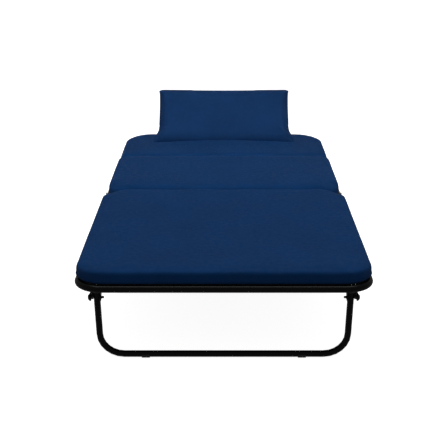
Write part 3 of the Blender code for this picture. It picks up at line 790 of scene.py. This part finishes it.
PILLOW_LEAN = math.radians(28)
PILLOW_HEIGHT = 0.292
PILLOW_SUNK = 0.045  # how much of the height is pressed flat on the mattress
PILLOW_BOW = 0.060  # how far the lower corners come forward
PILLOW_TOP = 0.932, 0.5505
PILLOW_FLOOR_V = 2 * PILLOW_SUNK / PILLOW_HEIGHT - 1
PILLOW_HALF = 0.31
PILLOW_THICK, PILLOW_SHRINK = 0.084, 0.985  # before it is filled
PILLOW_VOXEL, PILLOW_CAP = 0.0052, 0.0085
PILLOW_CORD_R = 0.0019
PILLOW_LEVELS = -1, -0.68, -0.50, -0.36, -0.10, 0.40, 0.70, 1  # from its foot to its top
PILLOW_WIDTHS = 0.342, 0.330, 0.3160, 0.3120, 0.3125, 0.3125, 0.3135, 0.3190  # half, at each level


def pillow_width(v):
    """Half the pillow's width at a level from -1 to 1."""
    return np.interp(v, PILLOW_LEVELS, PILLOW_WIDTHS)


def pillow_local(u, v, depth):
    """A pillow point before it is stood up: across, depth and height from its middle."""
    height = v * PILLOW_HEIGHT / 2 * (1 - 0.030 * (1 - u**2) * (v > 0))
    return u * pillow_width(v), depth, height


def pillow_form(thickness, shrink):
    """Two crowned sheets that meet at a seam."""
    across, up = 60, 28
    form = bmesh.new()
    seam = {}
    for face in (-1, 1):
        grid = {}
        for i in range(across + 1):
            for j in range(up + 1):
                u, v = 2 * i / across - 1, 2 * j / up - 1
                rim = abs(u) == 1 or abs(v) == 1
                if rim and face > 0:
                    grid[i, j] = seam[i, j]
                    continue
                crown = 0 if rim else ((1 - abs(u) ** 7) * (1 - abs(v) ** 5)) ** 0.6
                place = pillow_local(u * shrink, v * shrink, face * thickness / 2 * crown)
                grid[i, j] = form.verts.new(place)
                if rim:
                    seam[i, j] = grid[i, j]
        for i in range(across):
            for j in range(up):
                loop = [grid[i, j], grid[i + 1, j], grid[i + 1, j + 1], grid[i, j + 1]]
                form.faces.new(loop if face < 0 else reversed(loop))
    return form


def stand_up(points):
    """Bring the pillow's lower corners forward, lean it back, and press its foot flat on the mattress."""
    u = points[:, 0] / PILLOW_HALF
    v = points[:, 2] / (PILLOW_HEIGHT / 2)
    foot = ramp(-v, -0.5, -PILLOW_FLOOR_V)
    points[:, 1] -= PILLOW_BOW * foot * np.minimum(np.abs(u), 1.1) ** 2.2
    points[:, 1] += 0.008 * foot
    lean = np.array(Matrix.Rotation(-PILLOW_LEAN, 3, "X"))
    points = points @ lean.T
    points[:, 1] += PILLOW_TOP[0] - PILLOW_HEIGHT / 2 * math.sin(PILLOW_LEAN)
    points[:, 2] += PILLOW_TOP[1] - PILLOW_HEIGHT / 2 * math.cos(PILLOW_LEAN)
    floor = PAD_TOP + 0.0010
    slide = np.maximum(floor - points[:, 2], 0)
    points[:, 2] += slide
    points[:, 1] += slide * math.tan(PILLOW_LEAN)
    return points


def fold_sides(points):
    """Press a soft fold beside each of the pillow's side seams."""
    v = points[:, 2] / (PILLOW_HEIGHT / 2)
    inside = pillow_width(v) - np.abs(points[:, 0])
    fold = bell(inside - 0.017, 0.0045) - 0.5 * bell(inside - 0.030, 0.008)
    span = ramp(v, -0.95, -0.6) * ramp(-v, -0.95, -0.7)
    points[:, 1] += 0.0026 * fold * span * -np.sign(points[:, 1]) * (np.abs(points[:, 1]) > 0.004)
    return points


def pillow_rim(tree, count=200):
    """Points round the pillow's seam before it is stood up."""
    rim = []
    for i in range(count):
        angle = 2 * math.pi * i / count
        x, z = math.cos(angle), math.sin(angle)
        limit = max(abs(x) / PILLOW_HALF, abs(z) / (PILLOW_HEIGHT / 2))
        outward = Vector((x / limit, 0, z / limit))
        target = Vector((x / limit * 0.72, 0, z / limit * 0.72))
        start = target + (outward - target).normalized() * 0.35
        hit = tree.ray_cast(start, (target - start).normalized())[0]
        if hit is not None:
            rim.append(hit)
    return rim


def build_pillow():
    """The standing pillow: filled cover, folds beside its side seams, and a corded rim."""
    item = remeshed(from_form("pillow_cover", pillow_form(PILLOW_THICK, PILLOW_SHRINK)), PILLOW_VOXEL)
    item = subdivided(inflated(item, PILLOW_CAP, ((0, 2), (2, 0)), pressure=5.0, bending=0.8))
    set_coords(item, fold_sides(coords(item)))
    rim = pillow_rim(surface(item))
    set_coords(item, stand_up(coords(item)))
    dress(item, "pillow_cover")
    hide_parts("pillow")
    form = bmesh.new()
    path = stand_up(np.array([tuple(point) for point in rim]))
    add_tube(form, path, PILLOW_CORD_R, 10, closed=True)
    cord = from_form("pillow_rim_cord", form)
    dress(cord, "piping")
    for piece in (item, cord):
        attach(piece, "pillow")
        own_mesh(piece)


# ---- welded frames


def add_bead(form, center, direction, radius, other_radius, bead=0.0016):
    """A rippled weld bead where a tube meets the side of a larger one that runs along Y."""
    count = 40
    path, radii = [], []
    for k in range(count):
        angle = 2 * math.pi * k / count
        y, z = radius * math.cos(angle), radius * math.sin(angle)
        x = -direction * math.sqrt(max(other_radius**2 - z**2, 0))
        path.append((center[0] + x, center[1] + y, center[2] + z))
        radii.append(bead * (1 + 0.16 * math.sin(k * 2 * math.pi * 13 / count)))
    add_tube(form, path, radii, 8, closed=True)


def add_seam_weld(form, path, bead):
    """A rippled weld bead along an open path."""
    radii = [bead * (1 + 0.18 * math.sin(k * 2.1)) for k in range(len(path))]
    add_tube(form, path, radii, 8)


def add_cap(form, place, radius, length=0.004):
    """A domed plastic plug on a tube's open end, about local Z."""
    profile = [(radius * 0.9, -0.0005), (radius + 0.0007, 0), (radius + 0.0007, length * 0.4)]
    profile += [(radius * 0.86, length * 0.85), (radius * 0.5, length), (0, length * 1.05)]
    add_turned(form, [(0, -0.0005)] + profile, place, 28)


def deck_ring(end):
    """The deck's bent tube as a path."""
    corner = RAIL_X - CORNER_R, END_Y - CORNER_R
    half = [(RAIL_X, RAIL_END_Y), (RAIL_X, 0.3), (RAIL_X, 0.6)] + arc(corner, CORNER_R, 0, 90, 14)
    path = half + [(-x, y) for x, y in reversed(half)]
    return [(x, end * y, DECK_Z) for x, y in path]


def build_deck(end, end_name):
    """One deck half: bent tube, cross tubes, weld beads, end plugs and the slats' rivets."""
    body = f"{end_name}_deck"
    reach = RAIL_X - 0.004
    form = bmesh.new()
    add_tube(form, deck_ring(end), RAIL_R, 32)
    for y in (LEG_PIVOT_Y, MID_CROSS_Y):
        add_tube(form, [(x, end * y, DECK_Z) for x in (-reach, 0, reach)], CROSS_R, 28)
        for side in BOTH:
            add_bead(form, (side * RAIL_X, end * y, DECK_Z), side, CROSS_R, RAIL_R)
    item = finish_piece(f"{end_name}_frame_tubes", form, body)
    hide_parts(f"{end_name}_frame")
    form = bmesh.new()
    for side in BOTH:
        add_cap(form, placed(side * RAIL_X, end * RAIL_END_Y, DECK_Z, 90 * end), RAIL_R)
    finish_piece(f"{end_name}_frame_plugs", form, body, "black_plastic")
    slats = SLATS["foot" if end < 0 else "seat"]
    add_rivets(f"{end_name}_slat_rivets", slats, RAIL_X, DECK_Z - RAIL_R, body)


LEG_REACH = math.hypot(LINK_LEG_Y - LEG_FOOT_Y, LINK_Z - LEG_FOOT_Z)  # from a leg's rail to its bolts


def leg_point(end, x, height):
    """A point on a leg's leaning plane, at a height along the leg above its rail."""
    lean = math.atan2(LINK_LEG_Y - LEG_FOOT_Y, LINK_Z - LEG_FOOT_Z)
    return x, end * (LEG_FOOT_Y + height * math.sin(lean)), LEG_FOOT_Z + height * math.cos(lean)


def build_leg_trim(end, end_name):
    """The plugs in a leg's open ends, and the weld beads along its knee plates."""
    body = f"{end_name}_leg"
    top = LEG_REACH + LEG_ABOVE_BOLT
    form = bmesh.new()
    for side in BOTH:
        x = side * LEG_TOP_X
        tip, below = Vector(leg_point(end, x, top)), Vector(leg_point(end, x, top - 0.02))
        turn = Vector((0, 0, 1)).rotation_difference(tip - below).to_matrix().to_4x4()
        add_cap(form, Matrix.Translation(tip) @ turn, LEG_R, 0.0035)
    finish_piece(f"{body}_plugs", form, body, "black_plastic")
    form = bmesh.new()
    for side in BOTH:
        x = side * (KNEE_X[1] + 0.0008)
        for edge in (-0.0085, 0.0085):
            path = []
            for k in range(25):
                px, py, pz = leg_point(end, x, top - 0.040 + 0.036 * k / 24)
                path.append((px, py + edge, pz))
            add_seam_weld(form, path, 0.0014)
    finish_piece(f"{body}_welds", form, body)


def add_ratchet_disc(form, side):
    """A ratchet hinge's toothed disc, about the backrest's pivot."""
    inner, edge = 0.0056, 0.0006
    width = RATCHET_DISC_X[1] - RATCHET_DISC_X[0]
    disc = x_place(side * RATCHET_DISC_X[0], BACK_HINGE_Y, DECK_Z, side)
    rim = [(RATCHET_R - edge, 0), (RATCHET_R, edge), (RATCHET_R, width - edge), (RATCHET_R - edge, width)]
    add_turned(form, [(inner, 0)] + rim + [(inner, width)], disc, 40, closed=True)
    for k in range(12):
        turn = disc @ turned(30 * k, "Z")
        ends = [turn @ Vector((RATCHET_R - 0.0004, 0, z)) for z in (0.001, width - 0.001)]
        add_tube(form, ends, 0.0011, 8)


def build_backrest():
    """The backrest's bent tube, cross tube, ratchet discs, end plugs and rivets."""
    corner = BACK_X - BACK_CORNER_R, BACK_END_Y - BACK_CORNER_R
    half = [(BACK_X, BACK_START_Y), (BACK_X, 0.65)] + arc(corner, BACK_CORNER_R, 0, 90, 12)
    path = [(x, y, BACK_Z) for x, y in half + [(-x, y) for x, y in reversed(half)]]
    reach = BACK_X - 0.004
    cross = [(x, BACK_CROSS_Y, BACK_Z) for x in (-reach, 0, reach)]
    form = bmesh.new()
    add_tube(form, path, BACK_R, 28)
    add_tube(form, cross, BACK_CROSS_R, 24)
    for side in BOTH:
        add_bead(form, (side * BACK_X, BACK_CROSS_Y, BACK_Z), side, BACK_CROSS_R, BACK_R)
        add_ratchet_disc(form, side)
    tubes = finish_piece("backrest_tubes", form, "backrest")
    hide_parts("backrest_frame")
    form = bmesh.new()
    for side in BOTH:
        add_cap(form, placed(side * BACK_X, BACK_START_Y, BACK_Z, 90), BACK_R, 0.003)
    finish_piece("backrest_plugs", form, "backrest", "black_plastic")
    add_rivets("backrest_slat_rivets", SLATS["backrest"], BACK_X, BACK_Z - BACK_R, "backrest")


def add_rivets(name, slats, x, z, body):
    """The rivet heads that hold a set of slats, under their tubes."""
    profile = [(0, 0), (0.0042, 0), (0.0038, 0.0010), (0.0022, 0.0019), (0, 0.0022)]
    form = bmesh.new()
    for slat in slats:
        low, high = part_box(slat)
        for side in BOTH:
            add_turned(form, profile, placed(side * x, (low.y + high.y) / 2, z + 0.0003, 180), 20)
    finish_piece(name, form, body, "dark_zinc")


def build_base():
    """Plugs in the undercarriage's side tubes, and the welds along its hinge plates."""
    form = bmesh.new()
    for side in BOTH:
        for end in BOTH:
            spot = placed(side * BASE_X, end * BASE_END_Y, BASE_Z, -90 * end)
            add_cap(form, spot, BASE_R, 0.0035)
    finish_piece("base_plugs", form, "base", "black_plastic")
    x, z, reach = PLATE_WELD
    form = bmesh.new()
    for side in BOTH:
        add_seam_weld(form, [(side * x, -reach + 2 * reach * k / 60, z) for k in range(61)], 0.0016)
    finish_piece("base_welds", form, "base")


def add_nut(form, place, radius, height):
    """A hexagon nut that stands on its place."""
    profile = [(0, 0), (radius, 0), (radius, height * 0.82), (radius * 0.86, height), (0, height)]
    add_turned(form, profile, place, 6)


def build_nuts():
    """Nuts on the undercarriage's bolts: the rods' outboard, the decks' inboard."""
    form = bmesh.new()
    for end in BOTH:
        for side in BOTH:
            add_nut(form, x_place(side * 0.4455, end * LINK_Y, LINK_Z, side), 0.0080, 0.0052)
            add_nut(form, x_place(side * 0.4395, end * FOLD_Y, DECK_Z, -side), 0.0098, 0.0062)
    finish_piece("base_nuts", form, "base", "dark_zinc", 20)


def leg_bolt_profile(face):
    """A leg bolt with its spacer and washer, from its head inward to its threaded end."""
    low, high = LINK_X - EYE_HALF, LINK_X + EYE_HALF
    tube, plate = LEG_TOP_X + LEG_R + 0.0007, KNEE_X[0] - 0.0003
    shank, shoulder = 0.004, LEG_SHOULDER_R
    head = [(0, face), (0.0050, face - 0.0002), (0.0080, high + 0.0034), (0.0096, high + 0.0016)]
    head.append((0.0098, high))
    spacer = [(shank, high), (shank, low), (shoulder, low), (shoulder, tube), (shank, tube)]
    washer = [(shank, plate), (shoulder, plate), (shoulder, plate - 0.0011), (0.0052, plate - 0.0013)]
    thread = []
    for k in range(6):
        x = KNEE_X[0] - 0.0024 - 0.0010 * k
        thread += [(0.0042, x), (0.0037, x - 0.0005)]
    return head + spacer + washer + thread + [(0.0030, LEG_STUB_X + 0.0004), (0, LEG_STUB_X)]


def add_leg_tab(form, end, side):
    """A flat tab on the outside of a leg, beside the rod's eye."""
    inner, outer = LEG_TOP_X + 0.006, LINK_X - EYE_HALF - 0.0004
    outline = [(inner, -0.003), (outer, -0.003), (outer, 0.012), (outer - 0.003, 0.017), (inner, 0.017)]
    faces = []
    for depth in (-0.002, 0.002):
        spots = [leg_point(end, side * x, LEG_REACH + h) for x, h in outline]
        faces.append([form.verts.new(Vector(spot) + Vector((0, depth, 0))) for spot in spots])
    for k in range(len(outline)):
        n = (k + 1) % len(outline)
        form.faces.new((faces[0][k], faces[0][n], faces[1][n], faces[1][k]))
    form.faces.new(faces[0])
    form.faces.new(reversed(faces[1]))


def build_leg_bolts(end, end_name):
    """The bolts that join the rods to a leg, and the tabs beside the rods' eyes."""
    body = f"{end_name}_leg"
    names = [f"{body}_bolt_{side_name}" for side_name in SIDES]
    profile = leg_bolt_profile(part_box(names[1])[1].x)
    form = bmesh.new()
    for side in BOTH:
        add_turned(form, profile, x_place(0, end * LINK_LEG_Y, LINK_Z, side), 28)
    item = finish_piece(f"{body}_bolts", form, body, "dark_zinc", 30)
    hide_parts(*names)
    form = bmesh.new()
    for side in BOTH:
        add_leg_tab(form, end, side)
    bmesh.ops.recalc_face_normals(form, faces=form.faces)
    bmesh.ops.bevel(form, geom=form.edges[:], offset=0.0006, segments=2, affect="EDGES")
    finish_piece(f"{body}_tabs", form, body)


# ---- casters


def tyre_profile(radius, inner, half):
    """A tyre's rounded tread and its two side walls."""
    profile = [(inner, -half * 0.92), (radius * 0.90, -half * 0.96)]
    for angle in np.linspace(-1.4, 1.4, 13):
        profile.append((radius - 0.0025 + 0.0025 * math.cos(angle), half * 0.92 * math.sin(angle)))
    return profile + [(radius * 0.90, half * 0.96), (inner, half * 0.92)]


def add_hub_half(form, place, inner, half):
    """One side of a wheel's hub: rim, dish, boss and six webs. half is negative for the other side."""
    rim = [(inner + 0.0004, 0), (inner + 0.0004, half * 0.90), (inner - 0.0018, half * 0.90)]
    dish = [(inner - 0.0026, half * 0.42), (0.0078, half * 0.42)]
    boss = [(0.0072, half), (0.0036, half), (0.0036, 0)]
    add_turned(form, rim + dish + boss, place, 48, closed=True)
    for k in range(6):
        turn = place @ turned(60 * k + 15, "Z")
        points = [turn @ Vector((x, 0, half * 0.50)) for x in (0.0070, inner - 0.001)]
        add_tube(form, points, 0.0014, 8)


def build_wheel(name, body):
    """A caster wheel: rounded tyre on a two-part hub with webs."""
    low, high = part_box(f"{name}_wheel")
    center = (low + high) / 2
    radius, half = (high.z - low.z) / 2, (high.x - low.x) / 2 - 0.001
    inner = radius * 0.72
    place = x_place(center.x, center.y, center.z)
    form = bmesh.new()
    add_turned(form, tyre_profile(radius, inner, half), place, 56, closed=True)
    tyre = finish_piece(f"{name}_tyre", form, body, "wheel_rubber")
    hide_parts(f"{name}_wheel")
    form = bmesh.new()
    for flip in (1, -1):
        add_hub_half(form, place, inner, flip * half)
    finish_piece(f"{name}_hub", form, body, "black_plastic", look="wheel_hub")


def build_race(name):
    """The two rings of a caster's swivel race."""
    x, y = PIVOTS[f"{name}_swivel"][:2]
    form = bmesh.new()
    for height, radius in ((0.0575, 0.0152), (0.0615, 0.0143)):
        inner = radius - 0.004
        low, high = [(inner, -0.0014), (radius, -0.0012)], [(radius, 0.0012), (inner, 0.0014)]
        profile = low + [(radius + 0.0006, 0)] + high
        add_turned(form, profile, placed(x, y, height), 40, closed=True)
    finish_piece(f"{name}_race", form, f"{name}_swivel", "dark_zinc")


def build_casters():
    """Wheels and swivel races of the four casters."""
    for _, end_name in ENDS:
        for side_name in SIDES:
            name = f"caster_{end_name}_{side_name}"
            build_wheel(name, f"{name}_roll")
            build_race(name)


# ---- stage and camera


def build_floor():
    """A pale floor that takes only a faint shadow."""
    glow = {"Emission_Color": (1, 1, 1, 1), "Emission_Strength": 0.92}
    look = Look("floor", Roughness=0.95, Specular_IOR_Level=0.05, **glow)
    patches = look.fit(look.noise(2.5, 3), 0.3, 0.7, 0, 1)
    look.color(look.blend(patches, (0.885, 0.885, 0.885), (0.90, 0.90, 0.90)))
    form = bmesh.new()
    bmesh.ops.create_grid(form, x_segments=2, y_segments=2, size=30)
    floor = from_form("floor", form)
    floor.location.z = -0.0003
    floor.data.materials.append(look.material)
    floor.visible_diffuse = False
    floor.visible_glossy = False


def build_world():
    """A white world that gives only weak light."""
    world = bpy.data.worlds.new("studio")
    bpy.context.scene.world = world
    world.use_nodes = True
    nodes, links = world.node_tree.nodes, world.node_tree.links
    background = nodes["Background"]
    background.inputs["Color"].default_value = (1, 1, 1, 1)
    paths = nodes.new("ShaderNodeLightPath")
    strength = nodes.new("ShaderNodeMapRange")
    strength.inputs["To Min"].default_value = 0.24
    strength.inputs["To Max"].default_value = 1.0
    links.new(paths.outputs["Is Camera Ray"], strength.inputs["Value"])
    links.new(strength.outputs["Result"], background.inputs["Strength"])


def build_lights():
    """A soft overhead light, and a narrow one on the pillow."""
    overhead = "overhead", (0, -0.6, 3.2), (0, -0.6, 0.3), (3.2, 2.2), 64, 180
    pillow = "pillow", (0, -2.0, 1.62), (0, 0.84, 0.44), (1.4, 0.4), 2.2, 30
    for name, place, target, size, power, spread in (overhead, pillow):
        light = bpy.data.lights.new(name, "AREA")
        light.shape = "RECTANGLE"
        light.size, light.size_y = size
        light.energy = power
        light.spread = math.radians(spread)
        lamp = add_object(name, light)
        lamp.location = place
        lamp.rotation_euler = (Vector(target) - Vector(place)).to_track_quat("-Z", "Y").to_euler()


def build_camera():
    """A long lens, above and in front of the foot end."""
    data = bpy.data.cameras.new("camera")
    data.lens = 81.87
    data.sensor_width = 36
    data.shift_x = -0.00083
    data.clip_end = 100
    camera = add_object("camera", data)
    camera.location = (0, -3.926, 1.479)
    camera.rotation_euler = (math.radians(71.64), 0, 0)
    bpy.context.scene.camera = camera


def main():
    """Build every piece."""
    bpy.context.scene.view_settings.view_transform = "Standard"
    build_camera()
    dress_nodes()
    foot_panel()
    head_panels()
    build_pillow()
    for end, end_name in ENDS:
        build_deck(end, end_name)
        build_leg_trim(end, end_name)
        build_leg_bolts(end, end_name)
    build_backrest()
    build_base()
    build_nuts()
    build_casters()
    build_floor()
    build_world()
    build_lights()


main()
